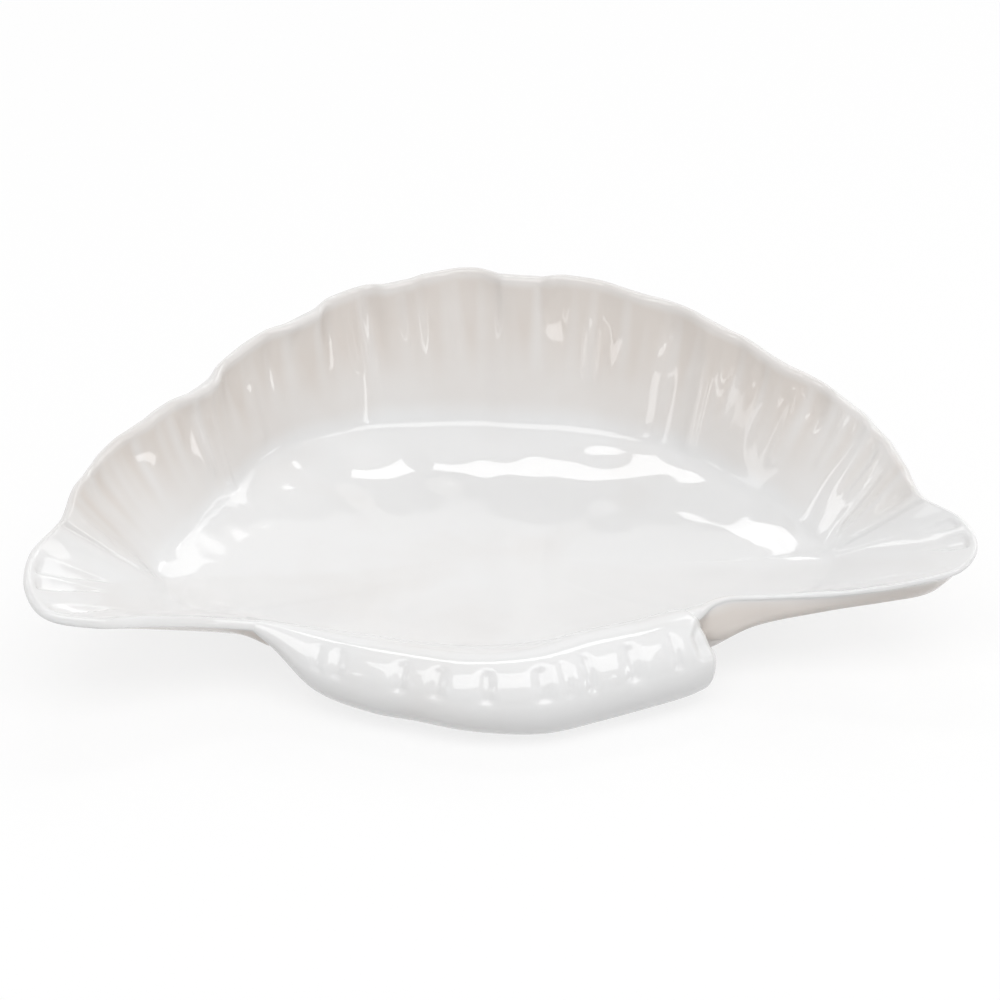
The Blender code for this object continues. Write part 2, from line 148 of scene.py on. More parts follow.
# shell sizes in millimetres, from the floor's middle and the table; places along the floor and up the wall
# are shares of the way, and a pair of them says where something starts and is full
shell = {
    "hinge": 42.0,          # from the floor's middle forward to the hinge, where the ribs fan out
    "middleHeight": 6.6,    # height of the floor's middle
    "dishing": 2.6,         # power with which the floor rises to its edge
    "cove": 0.55,           # softness of the corner between floor and wall
    "wall": 3.2,            # thickness
    "wallBow": 3.0,         # outward bow of a steep wall
    # rise, as a share of its length, at which a wall starts to be steep and is fully so
    "steep": (0.6, 0.85),
    # grid points; where the innermost ones lie, and how they crowd towards the floor's edge, both ends
    # of the wall and, outside, the rim
    "around": 1000, "floorColumns": 26, "wallColumns": 40, "capColumns": 12, "outerColumns": 16,
    "innermost": 0.02, "floorCrowding": 1.4, "wallCrowding": 0.4, "outerCrowding": 1.5,
    # glaze colour with painted light and shade in it, from 0 for thin, creamy and shaded to 1 for thick and
    # white:
    # on the ears, at the foot of the painted-shade wall, on its lighter rim band and in the painted shade
    # under the dish, and how much the lighter and darker columns down the wall differ
    "glazeSides": 0.98, "wallFootShade": 0.65, "rimTone": 0.45, "underShade": 0.0, "columnTone": 0.12,
    # painted light on the fan's two ends, which are made whiter: degrees about the hinge where it starts and
    # is full, share
    "fanEndLight": ((125, 160, 0.25), (50, 22, 0.25)),
    # where the whiter middle of the floor, pooled glaze and a painted pool of light, ends; where it leaves
    # the floor for the wall;
    # where the painted shade darkens up the wall; where the columns start; where the rim band lightens; and
    # where the painted shade under the dish starts
    "litPoolEnd": (0.45, 0.85), "foldTop": 0.1, "glazeFold": (0.02, 0.2), "wallShadeRise": (-0.1, 1.0),
    "columnStart": (0.2, 0.8), "rimBead": (0.93, 1.0), "underShadeStart": (0.0, 0.08),
    # fan: degrees about the hinge, reach and height of the rim, reach and height of the floor's edge
    "fan": ((24, 83.6, 30.1, 68.0, 12.8), (36, 86.1, 32.7, 70.8, 13.0), (48, 86.4, 35.4, 73.6, 13.2),
            (62, 91.4, 38.5, 78.4, 13.8), (77, 95.6, 40.7, 80.2, 14.0), (92, 97.9, 41.3, 83.0, 14.0),
            (106, 96.9, 39.5, 85.4, 14.8), (119, 92.5, 36.6, 85.8, 14.8), (132, 87.8, 33.9, 80.6, 13.2),
            (147, 88.5, 32.7, 76.4, 12.6)),
    "rim": 1.2,    # half the fan's thickness at the rim
    # ears: x, y, z of the rim, then of the floor's edge, and half the rim's thickness
    "leftEar": ((-82.4, -8.0, 31.6, -68.5, -9.5, 12.5, 0.7), (-85.2, -17.6, 29.8, -67.0, -14.0, 12.4, 0.8),
                (-90.8, -27.5, 28.9, -65.5, -18.5, 12.5, 0.9), (-91.5, -38.0, 28.0, -63.0, -22.0, 12.5, 1.0),
                (-88.3, -44.9, 26.9, -60.0, -24.5, 12.5, 1.0), (-80.0, -45.5, 25.0, -55.0, -26.5, 12.5, 1.0),
                (-70.0, -42.5, 22.8, -49.0, -28.5, 12.3, 1.0), (-59.0, -39.4, 20.0, -43.5, -30.5, 12.0, 1.0),
                (-47.5, -38.2, 17.4, -38.5, -32.5, 11.6, 1.0)),
    # lip: x, y, z of the crest, then of the floor's edge behind it, and half its thickness
    "lip": ((-39.5, -39.4, 15.9, -33.5, -34.5, 11.2, 1.2), (-28.0, -45.2, 15.9, -25.0, -37.5, 11.0, 1.2),
            (-20.0, -49.3, 16.0, -18.0, -39.5, 11.0, 1.2), (-10.5, -53.2, 16.4, -9.5, -41.0, 11.0, 1.2),
            (1.5, -53.6, 17.0, 1.4, -41.4, 11.0, 1.2), (12.0, -50.2, 17.6, 11.0, -40.4, 11.2, 1.2),
            (22.0, -47.8, 17.8, 20.0, -39.0, 11.4, 1.2), (29.5, -45.0, 17.6, 27.5, -37.0, 11.6, 1.2),
            (32.6, -42.6, 17.3, 31.2, -35.6, 11.6, 1.2)),
    "rightEar": ((35.0, -40.6, 17.8, 33.0, -34.6, 11.6, 0.8), (39.0, -39.4, 18.2, 36.0, -33.8, 11.6, 0.6),
                 (46.0, -40.4, 18.8, 41.0, -33.0, 11.8, 0.5), (60.0, -44.3, 21.2, 49.5, -31.0, 12.0, 0.5),
                 (73.0, -47.3, 24.4, 57.0, -28.5, 12.2, 0.5), (82.0, -46.9, 26.7, 60.5, -25.2, 12.4, 0.6),
                 (86.1, -40.8, 27.8, 62.6, -22.3, 12.5, 0.6), (84.9, -31.6, 28.3, 63.6, -19.3, 12.6, 0.6),
                 (79.2, -22.2, 28.0, 63.3, -16.6, 12.7, 0.7)),
    # how far up the wall it starts to thin towards the rim: on the left ear, on the right one and elsewhere
    "thinning": (0.0, 0.80, 0.72),
    # where the ears and the lip's rounded rise start, are full, fade and end, in outline points
    "leftEarPlaces": (11.0, 12.0, 16.5, 18.0), "rightEarPlaces": (29.0, 30.5, 33.2, 34.6),
    "lipPlaces": (18.0, 19.6, 27.0, 28.6),
    # softer corners on the left: place in outline points, width, extra softness
    "wideCoves": ((9.8, 0.6, 2.0), (8.15, 0.3, 1.4)),
    # thicker body under the ears' front edges: place in outline points, width, extra thickness
    "bodies": ((17.8, 0.8, 1.2), (28.8, 1.5, 4.0), (32.6, 0.8, 0.9)),
    "bodyStart": (0.6, 0.95),
    # ribs of the fan: degrees about the hinge, half the flat top, width of the side, depth at the rim
    "ribs": ((22.7, 0.8, 2.2, 0.4), (29, 0.8, 2.4, 0.3), (36, 1.0, 3.0, 0.4), (47, 1.4, 3.4, 0.6),
             (57.7, 1.2, 3.4, 0.7), (69.7, 1.0, 3.4, 0.7), (84, 2.4, 3.0, 2.4), (99.4, 1.2, 2.6, 1.5),
             (112.5, 1.6, 3.4, 2.0), (131, 1.6, 3.8, 1.6), (143, 1.2, 3.0, 0.5), (154, 1.0, 2.6, 0.5)),
    "ribFoot": 0.12, "ribGrowth": 2.0,    # share of the depth left at the fold, and how late it grows
    "ribStart": (0.86, 0.99), "ribOutside": 0.7,    # where they start, and the share that shows outside
    "leastLean": 0.3,    # lean of the surface below which they fade out
    # flutes between them: degrees about the hinge, width, depth
    "flutes": ((74.5, 5, 0.8), (91, 3, 1.4), (104.5, 3.5, 0.9), (121, 4, 0.5), (136, 4, 0.4)),
    # hollows pressed under the rim: degrees about the hinge, width, depth
    "rimHollows": ((16, 1.5, 0.8), (26.8, 1.4, 0.6), (31, 1.4, 0.4), (39.1, 1.8, 1.0), (49, 1.2, 0.6),
                   (53.5, 1.6, 0.7), (64, 2.2, 1.2), (80.4, 2.0, 1.4), (87.3, 1.2, 1.0), (98.4, 1.0, 0.7),
                   (102.8, 1.0, 0.8), (108.9, 1.2, 0.7), (114.4, 1.4, 0.8), (118, 1.2, 0.7), (125, 1.6, 0.6),
                   (133.4, 2.0, 0.8), (145, 2.0, 0.6), (153.5, 1.8, 0.7)),
    "hollowPlace": (0.84, 0.22),    # their middle and width up the wall
    # press lines up the wall: degrees about the hinge, half width, height, and where they start and end
    "pressLines": ((58.0, 1.1, 0.5, 0.0, 1.0), (73.2, 0.6, 0.3, 0.3, 0.75), (75.0, 0.6, 0.3, 0.3, 0.75),
                   (92.6, 0.5, 0.25, 0.4, 0.8), (104.2, 0.5, 0.3, 0.4, 1.0), (105.6, 0.5, 0.3, 0.4, 1.0),
                   (122.0, 0.8, 0.35, 0.1, 0.7), (130.6, 0.7, 0.35, 0.0, 1.0), (133.2, 0.7, 0.35, 0.2, 1.0),
                   (136.4, 0.6, 0.25, 0.6, 0.95), (42.8, 0.9, 0.35, 0.2, 0.9), (34.4, 0.8, 0.3, 0.4, 1.0),
                   (25.6, 0.8, 0.3, 0.4, 1.0), (21.4, 0.8, 0.3, 0.2, 0.9), (162.6, 0.6, 0.25, 0.5, 0.9)),
    "pressRise": 0.12, "pressFade": (-0.08, 0.04),    # way to their full height, and their fade at the end
    # streaks down the wall: height, where they start up it, and the degrees where they start and end
    "streakHeight": 0.02, "streakStart": (0.1, 0.7), "streakPlaces": (12, 20, 166, 172),
    # scoops pressed into the ears' tips: place in outline points, half width, depth, lean, where they start
    "earScoops": ((12.28, 0.28, 0.6, 1.1, 0.44), (12.82, 0.23, 0.7, 1.0, 0.50),
                  (13.85, 0.34, 0.8, 1.05, 0.54), (34.20, 0.32, 0.5, -0.6, 0.62),
                  (34.88, 0.20, 0.4, -0.3, 0.68)),
    "scoopRise": 0.2, "scoopEnd": (0.93, 0.99),    # way to their full depth, and where they fade and end
    "scoopTip": 0.2, "scoopFull": 0.9,             # share of the width at the start, and where it is full
    # steps where the fan stands above an ear: place in outline points, where it fades out, height
    "earSteps": ((11.08, 9.6, 0.75), (35.85, 37.0, 0.5)),
    "stepHalf": 0.07, "stepTop": 0.2,             # half its width, and where it is full, in outline points
    "stepStart": (0.06, 0.3), "stepFoot": 0.5,    # where it starts, and its share of the height at the fold
    # swellings of the floor below the wall: degrees about the hinge, width, height
    "floorSwells": ((107, 3.6, 0.16), (96, 2.6, 0.14), (86, 3.6, 0.24), (69.4, 4.4, 0.28),
                    (121, 4.0, 0.12)),
    "swellPlace": (0.88, 0.075),    # their middle and width along the floor
    # dents of the hand nearer the middle: x, y, half width across and back, height, below 0 for a hollow
    "floorDents": ((-27, 29, 5, 7, -0.75), (-8, 31, 6, 7, -0.85), (10, 17, 10, 7, 0.4),
                   (23, 10, 6, 7, 0.45)),
    "dentEnd": (0.9, 1.0),                            # where they fade out at the floor's edge
    "waveHeight": 0.032, "waveStart": (0.25, 0.6),    # slow waves of the hand, and where they start
}


# rim and floor edge all round, as rows of rim x, y, z, floor edge x, y, z and half the rim's thickness
def outlineStations(s):
    rows = []
    for angle, reach, height, floor, floorHeight in s["fan"]:
        across, back = math.cos(math.radians(angle)), math.sin(math.radians(angle))
        rows.append((reach * across, reach * back - s["hinge"], height,
                     floor * across, floor * back - s["hinge"], floorHeight, s["rim"]))
    return np.array(rows + list(s["leftEar"]) + list(s["lip"]) + list(s["rightEar"]))


# height of the floor: its middle's height plus a power of the share of the way to its edge
def floorLevel(s, along, edgeHeight):
    return mix(s["middleHeight"], edgeHeight, np.clip(along, 0, None) ** s["dishing"])


# inside of the bowl: each section runs along the floor, bends in a soft corner and climbs to the rim;
# the lip rises in a parabola that ends level, and the steep wall bows out below the rim
def bowlSections(s, outline, station, steps):
    rim, edge = outline[:, :3], outline[:, 3:6]
    lip = plateau(s["lipPlaces"], station)[:, None]
    floorLength = np.linalg.norm(edge[:, :2], axis=1)[:, None]
    climb = rim - edge
    climbLength = np.linalg.norm(climb, axis=1)[:, None]
    distance = np.where(steps < 0, steps * floorLength, steps * climbLength)
    softer = sum(extra * bell(middle, width, station) for middle, width, extra in s["wideCoves"])
    cove = s["cove"] + softer[:, None]
    along = 1 - cove * np.logaddexp(0, -distance / cove) / floorLength    # soft corner, floor side
    up = cove * np.logaddexp(0, distance / cove) / climbLength            # soft corner, wall side
    share = np.clip(up, 0, 1)
    rise = mix(up, 1 - (1 - share) ** 2, lip)
    steep = ease(*s["steep"], climb[:, 2:] / climbLength)
    bow = s["wallBow"] * steep * (share ** 2 - share ** 4)
    outward = unit(climb[:, :2])
    x = edge[:, :1] * along + climb[:, :1] * up + outward[:, :1] * bow
    y = edge[:, 1:2] * along + climb[:, 1:2] * up + outward[:, 1:] * bow
    z = floorLevel(s, along, edge[:, 2:]) + climb[:, 2:] * rise
    return np.stack([x, y, z], axis=2), along, up, steep


# ribs and flutes along the rim: flat-topped bumps for the ribs less bells for the flutes
def ribWave(s, angle):
    wave = sum(depth * flatBump(middle, flat, side, angle) for middle, flat, side, depth in s["ribs"])
    return wave - sum(depth * bell(middle, width, angle) for middle, width, depth in s["flutes"])


# streaks down the fan's wall, from -2.4 to 2.4: three waves of unlike lengths, none on the ears
def streaks(s, angle):
    waves = np.sin(angle * 1.1) + 0.8 * np.sin(angle * 1.7 + 1) + 0.6 * np.sin(angle * 2.6 + 2)
    return waves * plateau(s["streakPlaces"], angle)


# slow waves of the hand, from -2.5 to 2.5: sines 14 to 47 mm long, the shorter ones bent by longer ones
def handWaves(x, y):
    crossed = np.sin(x / 2.3 + 1.6 * np.sin(x / 7 + y / 5)) * np.sin(y / 2.9 + x / 8)
    slanting = 0.8 * np.sin(x / 4.1 - y / 3.3 + 1.2 * np.sin(x / 9))
    broad = 0.7 * np.sin(x / 7.5 + y / 5.2)
    return crossed + slanting + broad


# relief of the inside, along its normals: press lines, hollows and streaks on the wall, scoops and steps
# on the ears, and swellings, dents and slow waves on the floor
def insideRelief(s, base, angle, station, along, up):
    relief = np.zeros(up.shape)
    fadeFrom, fadeTo = s["pressFade"]
    for middle, width, height, start, end in s["pressLines"]:
        window = plateau((start, start + s["pressRise"], end + fadeFrom, end + fadeTo), up)
        relief += height * bell(middle, width, angle)[:, None] * window
    for middle, width, depth in s["rimHollows"]:
        relief -= depth * bell(middle, width, angle)[:, None] * bell(*s["hollowPlace"], up)
    for middle, half, depth, lean, start in s["earScoops"]:
        window = plateau((start, start + s["scoopRise"], *s["scoopEnd"]), up)
        reach = half * mix(s["scoopTip"], 1, ease(start, s["scoopFull"], up))
        across = np.clip((station[:, None] - middle) / reach, -1, 1)
        relief -= depth * scoop(middle, reach, station[:, None]) * (1 + lean * across) * window
    for line, fade, height in s["earSteps"]:
        beyond = (station - line) * np.sign(line - fade)    # above 0 on the ear's side
        raised = plateau((-abs(line - fade), -s["stepTop"], -s["stepHalf"], s["stepHalf"]), beyond)
        growth = ease(*s["stepStart"], up) * mix(s["stepFoot"], 1, np.clip(up, 0, 1))
        relief += height * raised[:, None] * growth
    for middle, width, height in s["floorSwells"]:
        relief += height * bell(middle, width, angle)[:, None] * bell(*s["swellPlace"], along)
    relief += s["streakHeight"] * streaks(s, angle)[:, None] * ease(*s["streakStart"], up)
    x, y = base[:, :, 0], base[:, :, 1]
    onFloor = 1 - ease(*s["dentEnd"], along)
    for across, back, halfAcross, halfBack, height in s["floorDents"]:
        relief += height * bell(across, halfAcross, x) * bell(back, halfBack, y) * onFloor
    return relief + s["waveHeight"] * handWaves(x, y) * ease(*s["waveStart"], along)


# glaze colour on the inside, with painted light and shade: whitest in the floor's middle, pooled glaze and a
# painted pool of light;
# creamier and darker, painted shade, the higher it stands on the fan's wall, whiter on the fan's ends,
# painted light;
# in lighter and darker columns down the wall, and lighter again in a band along the rim
def insideGlazeAndShading(s, angle, along, up, steep):
    # painted pool of light, as well as pooled glaze: whitest in the floor's middle, easing to the ears'
    # level towards its edge
    litPool = mix(s["glazeSides"], 1, 1 - ease(*s["litPoolEnd"], along))
    # painted shade: the wall darkens from its foot towards the rim
    wallShade = mix(s["wallFootShade"], 0, ease(*s["wallShadeRise"], up))
    # painted light: the fan's two ends made whiter
    litEnds = sum(extra * ease(start, full, angle) for start, full, extra in s["fanEndLight"])
    # lighter and darker columns down the wall, following the streaks
    columnShift = s["columnTone"] * streaks(s, angle)[:, None] * ease(*s["columnStart"], up)
    wallShade = np.clip(wallShade + litEnds[:, None] + columnShift, 0, 1)
    coatAndShading = np.where(up < s["foldTop"], litPool, s["glazeSides"])
    # the steep wall takes its painted shade, starting at the fold
    coatAndShading = mix(coatAndShading, wallShade, steep * ease(*s["glazeFold"], up))
    # a lighter band along the rim
    return np.maximum(coatAndShading, s["rimTone"] * ease(*s["rimBead"], up))


# closed skin of the shell: the inside, a round rim, and the outside back to the middle; the inside is moved
# level by its ribs and along its normals by its relief, and the outside lies a wall's thickness behind it
def shellGrid(s):
    outline, station = smoothCurve(outlineStations(s), np.linspace(0, 1, s["around"], endpoint=False), True)
    angle = np.degrees(np.arctan2(outline[:, 1] + s["hinge"], outline[:, 0]))
    inwards = 1 - np.linspace(s["innermost"], 1, s["floorColumns"], endpoint=False)
    floorSteps = -inwards ** s["floorCrowding"]
    even = np.linspace(0, 1, s["wallColumns"])
    wallSteps = even - s["wallCrowding"] * np.sin(2 * math.pi * even) / (2 * math.pi)
    steps = np.concatenate([floorSteps, wallSteps])[None, :]
    base, along, up, steep = bowlSections(s, outline, station, steps)
    share = np.clip(up, 0, 1)
    normals = gridNormals(base)
    growth = mix(s["ribFoot"], 1, share ** s["ribGrowth"]) * ease(*s["ribStart"], along)
    ribs = ribWave(s, angle)[:, None] * growth
    level = normals * (1, 1, 0)
    level = level / np.maximum(np.linalg.norm(level, axis=2, keepdims=True), s["leastLean"])
    inner = base + level * ribs[:, :, None]
    radius = outline[:, 6:7]
    body = sum(extra * bell(middle, width, station) for middle, width, extra in s["bodies"])[:, None]
    thinLeft, thinRight, thinFan = s["thinning"]
    thinFrom = mix(thinFan, thinLeft, plateau(s["leftEarPlaces"], station))
    thinFrom = mix(thinFrom, thinRight, plateau(s["rightEarPlaces"], station))[:, None]
    thickness = mix(s["wall"] + body * ease(*s["bodyStart"], along), 2 * radius, ease(thinFrom, 1, share))
    outer = base + level * (s["ribOutside"] * ribs)[:, :, None] - normals * thickness[:, :, None]
    inner = inner + gridNormals(inner) * insideRelief(s, base, angle, station, along, up)[:, :, None]
    half = (inner[:, -1] - outer[:, -1]) / 2
    ahead = unit(base[:, -1] - base[:, -2]) * radius
    turn = np.linspace(0, math.pi, s["capColumns"] + 2)[1:-1]
    cap = ((inner[:, -1] - half)[:, None] + half[:, None] * np.cos(turn)[None, :, None]
           + ahead[:, None] * np.sin(turn)[None, :, None])
    under = np.linspace(0, 1, s["outerColumns"]) ** s["outerCrowding"]    # way from the rim to the middle
    kept = ((1 - under) * (outer.shape[1] - 1)).round().astype(int)
    skin = np.concatenate([inner, cap, outer[:, kept]], axis=1)
    coatAndShading = insideGlazeAndShading(s, angle, along, up, steep)
    overRim = mix(coatAndShading[:, -1:], s["glazeSides"], np.linspace(0, 1, s["capColumns"])[None, :])
    # painted shade on the outside: it darkens from the rim to the thin creamy colour under the dish
    shadedOutside = mix(s["glazeSides"], s["underShade"], ease(*s["underShadeStart"], under))
    shadedOutside = np.tile(shadedOutside, (s["around"], 1))
    return skin, np.concatenate([coatAndShading, overRim, shadedOutside], axis=1), outline


skinGrid, skinGlazeAndShading, shellOutline = shellGrid(shell)
shellBowl = meshFromGrid("shellBowl", skinGrid)
keepGlazeAndShading(shellBowl, skinGlazeAndShading)
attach(shellBowl, "root")
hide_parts("shell_bowl")
print("shell bowl:", len(shellBowl.data.polygons), "faces")


# hinge roll in millimetres
roll = {
    # path: x, y, z of its top line and its radius
    "path": ((-52.0, -38.4, 18.2, 0.9), (-47.5, -38.6, 17.3, 2.4), (-39.5, -40.6, 15.9, 5.6),
             (-28.0, -46.0, 15.9, 7.0), (-20.0, -49.5, 16.0, 7.1), (-10.5, -53.2, 16.4, 7.5),
             (1.5, -53.6, 17.0, 8.3), (12.0, -50.2, 17.6, 8.7), (22.0, -47.8, 17.8, 8.4),
             (28.5, -45.4, 17.8, 8.3), (32.0, -43.6, 17.4, 8.0), (35.0, -42.2, 16.0, 7.4)),
    "proud": 0.15,    # how far it stands above the path
    # lengths of the rounded ends, how far from their tips the first points lie, and the least radius
    "leftRounding": 3.0, "rightRounding": 4.6, "endGap": 0.05, "leastRadius": 0.02,
    # grid points around and along, how they crowd to both ends, and the share of the path cut off there
    "around": 96, "along": 330, "crowding": 0.8, "trim": 0.0005,
    # grooves over the front: x at the top, half width, depth
    "grooves": ((-37.5, 1.3, 0.35), (-33.4, 1.3, 0.55), (-22.2, 1.2, 0.75), (-15.5, 1.2, 0.75),
                (-8.0, 1.2, 0.85), (1.0, 1.4, 0.85), (4.4, 0.9, 0.55), (8.5, 1.1, 0.75),
                (17.7, 1.4, 0.85), (25.5, 0.9, 0.6)),
    "fullRadius": 6,    # radius from which all cuts have their full depth
    # fold down to the right end: x at the top, way left at the front, half width, depth
    "fold": (35.0, 5.8, 0.9, 1.3),
    # flatter face along the front: turn, half width, depth
    "flat": (0.77, 0.36, 0.22),
    # where grooves and fold start, are full, fade and end, and where the fold goes left, as turns in radians
    # from the top towards the front
    "groovePlaces": (0.3, 0.6, 1.22, 1.38), "foldPlaces": (-0.6, 0.0, 0.9, 1.4), "foldLeft": (-0.2, 0.7),
}


# a round bar whose top follows the path: its middle lies a radius below the path, its ends round off as
# ellipses, and grooves, a fold and a flatter face are cut into its front
def rollGrid(s):
    even = np.linspace(0, 1, s["along"])
    closer = mix(even, 0.5 - 0.5 * np.cos(math.pi * even), s["crowding"])
    curve, _ = smoothCurve(np.array(s["path"]), mix(s["trim"], 1 - s["trim"], closer), False)
    top, radius = curve[:, :3], curve[:, 3]
    tangent = unit(np.gradient(top[:, :2], axis=0))
    front = np.column_stack([tangent[:, 1], -tangent[:, 0], np.zeros(len(top))])
    gone = s["endGap"] + np.append(0, np.cumsum(np.linalg.norm(np.diff(top, axis=0), axis=1)))
    fromLeft = np.clip(gone / s["leftRounding"], 0, 1)
    fromRight = np.clip((gone[-1] + s["endGap"] - gone) / s["rightRounding"], 0, 1)
    swell = radius * np.sqrt((1 - (1 - fromLeft) ** 2) * (1 - (1 - fromRight) ** 2))
    turn = np.linspace(math.pi, -math.pi, s["around"], endpoint=False)[:, None]
    x = top[None, :, 0]
    depth = sum(deep * bell(middle, half, x) for middle, half, deep in s["grooves"])
    depth = depth * plateau(s["groovePlaces"], turn)
    foldX, wayLeft, foldHalf, foldDepth = s["fold"]
    foldLine = foldX - wayLeft * ease(*s["foldLeft"], turn)
    fold = ease(foldLine - foldHalf, foldLine + foldHalf, x) * plateau(s["foldPlaces"], turn)
    flatTurn, flatHalf, flatDepth = s["flat"]
    depth = depth + foldDepth * fold + flatDepth * bell(flatTurn, flatHalf, turn)
    depth = depth * np.minimum(swell / s["fullRadius"], 1)
    reach = np.maximum(swell - depth, s["leastRadius"])[:, :, None]
    middle = top + np.column_stack([np.zeros((len(top), 2)), s["proud"] - radius])
    upwards = np.array([0, 0, 1])
    around = np.cos(turn)[:, :, None] * upwards + np.sin(turn)[:, :, None] * front
    return middle + reach * around


rollSurface = rollGrid(roll)
hingeRoll = meshFromGrid("hingeRoll", rollSurface)
keepGlazeAndShading(hingeRoll, np.full(rollSurface.shape[:2], shell["glazeSides"]))
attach(hingeRoll, "root")
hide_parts("hinge_roll")
print("hinge roll:", len(hingeRoll.data.polygons), "faces")


# foot ring in millimetres
foot = {
    "length": 86.0, "depth": 52.0, "around": 240,
    "sink": 0.6,    # how far it goes into the shell
    # profile: way in from the outer edge, and share of the height
    "profile": ((-1.9, 1.06), (-0.7, 0.86), (0.0, 0.60), (0.4, 0.30), (0.7, 0.10), (1.4, 0.0), (4.6, 0.0),
                (5.3, 0.10), (5.6, 0.30), (6.0, 0.56), (6.8, 0.80), (8.2, 1.0), (3.0, 1.2)),
}


# a profile carried round an oval, its height following the underside of the floor above it
def footGrid(s, around):
    angle = np.linspace(-math.pi, math.pi, s["around"], endpoint=False)
    outline = np.column_stack([np.cos(angle) * s["length"], np.sin(angle) * s["depth"]]) / 2
    inward = unit(-np.column_stack([np.cos(angle) * s["depth"], np.sin(angle) * s["length"]]))
    edge = around[:, 3:6]
    bearing = np.arctan2(edge[:, 1], edge[:, 0])
    reach = np.interp(angle, bearing, np.linalg.norm(edge[:, :2], axis=1), period=2 * math.pi)
    edgeHeight = np.interp(angle, bearing, edge[:, 2], period=2 * math.pi)
    profile = np.array(s["profile"])
    place = outline[:, None] + inward[:, None] * profile[None, :, :1]
    along = np.linalg.norm(place, axis=2) / reach[:, None]
    bed = floorLevel(shell, along, edgeHeight[:, None]) - shell["wall"] + s["sink"]
    return np.dstack([place, bed * profile[None, :, 1]])


footRing = meshFromGrid("footRing", footGrid(foot, shellOutline), joined=True)
smoothing = footRing.modifiers.new("smoothing", "SUBSURF")
smoothing.levels = smoothing.render_levels = 2
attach(footRing, "root")
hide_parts("foot_ring")
print("foot ring:", len(footRing.data.polygons), "faces")


# colour of a hex code as linear light: each channel goes through the sRGB curve
def linear(hexColour):
    channels = np.array([int(hexColour[k:k + 2], 16) for k in (1, 3, 5)]) / 255
    return (*np.where(channels <= 0.04045, channels / 12.92, ((channels + 0.055) / 1.055) ** 2.4), 1)


def grey(level):
    return (level, level, level, 1)


# adds a node with its settings; an input is a plain value or the output that feeds it; the colours of
# a mix node are its inputs 6 and 7 and its output 2
def addNode(tree, kind, inputs, **settings):
    made = tree.nodes.new(kind)
    for name, value in settings.items():
        setattr(made, name, value)
    for name, value in inputs.items():
        if isinstance(value, bpy.types.NodeSocket):
            tree.links.new(value, made.inputs[name])
        else:
            made.inputs[name].default_value = value
    return made


def newMaterial(name):
    material = bpy.data.materials.new(name)
    material.use_nodes = True
    return material, material.node_tree, material.node_tree.nodes["Principled BSDF"]


# white glaze: an opaque glass fired on, glossy and a little wavy; its colour runs from thin and creamy,
# darkened as painted shade, on the steep walls and under the dish to thick and white on the floor and the
# ears; sizes in mm
glazeLook = {
    # thin: creamy and darkened as painted shade; thick: white
    "thinShaded": "#dbd4ce", "thick": "#ececec",
    # size of the clouds in its thickness, the part of the noise they use, and how much they differ
    "cloud": 22, "cloudRange": (0.3, 0.7), "uneven": 0.15,
    "ripple": 7, "rippleHeight": 0.012,
    "roughness": (0.02, 0.05), "ior": 1.5,
}
glaze, tree, shader = newMaterial("white glaze")
place = addNode(tree, "ShaderNodeTexCoord", {}).outputs["Object"]
# the glaze colour from the mesh, painted light and shade included, made uneven by random clouds
depth = addNode(tree, "ShaderNodeAttribute", {}, attribute_name="glazeAndShading")
cloud = addNode(tree, "ShaderNodeTexNoise",
                {"Vector": place, "Scale": 1 / (glazeLook["cloud"] * mm), "Detail": 3})
cloudLow, cloudHigh = glazeLook["cloudRange"]
uneven = addNode(tree, "ShaderNodeMapRange",
                 {"Value": cloud.outputs["Fac"], "From Min": cloudLow, "From Max": cloudHigh,
                  "To Min": -glazeLook["uneven"], "To Max": glazeLook["uneven"]})
coatAndShading = addNode(tree, "ShaderNodeMath", {0: depth.outputs["Fac"], 1: uneven.outputs[0]},
               operation="ADD", use_clamp=True)
colour = addNode(tree, "ShaderNodeMix", {0: coatAndShading.outputs[0], 6: linear(glazeLook["thinShaded"]),
                                         7: linear(glazeLook["thick"])}, data_type="RGBA")
ripple = addNode(tree, "ShaderNodeTexNoise",
                 {"Vector": place, "Scale": 1 / (glazeLook["ripple"] * mm), "Detail": 1})
wavy = addNode(tree, "ShaderNodeBump", {"Height": ripple.outputs["Fac"], "Strength": 1.0,
                                        "Distance": glazeLook["rippleHeight"] * mm})
smoothest, roughest = glazeLook["roughness"]
gloss = addNode(tree, "ShaderNodeMapRange",
                {"Value": cloud.outputs["Fac"], "To Min": smoothest, "To Max": roughest})
tree.links.new(colour.outputs[2], shader.inputs["Base Color"])
tree.links.new(wavy.outputs[0], shader.inputs["Normal"])
tree.links.new(gloss.outputs[0], shader.inputs["Roughness"])
shader.inputs["IOR"].default_value = glazeLook["ior"]
shellBowl.data.materials.append(glaze)
hingeRoll.data.materials.append(glaze)

# bare bisque: fired clay wiped clean of glaze, matt and sandy, with fine grog specks and a darker, uneven
# line where the glaze stops; sizes in mm
bisqueLook = {
    "clay": "#d9cfbf", "grog": "#b9a88f", "toasted": "#c7ad8d",
    "sand": 0.6, "sandHeight": 0.05, "sandStrength": 0.6,
    # size of the specks' cells, the shares of a cell where a speck fades and ends, and its strength
    "speck": 1.6, "speckEdge": (0.12, 0.24), "speckStrength": 0.6,
    # heights where the line starts and is full, and the size and height of its wander
    "line": (3.0, 4.2), "lineWander": 9, "wanderHeight": 2,
    "roughness": (0.6, 0.85),
}
bisque, tree, shader = newMaterial("bare bisque")
place = addNode(tree, "ShaderNodeTexCoord", {}).outputs["Object"]
sand = addNode(tree, "ShaderNodeTexNoise",
               {"Vector": place, "Scale": 1 / (bisqueLook["sand"] * mm), "Detail": 2})
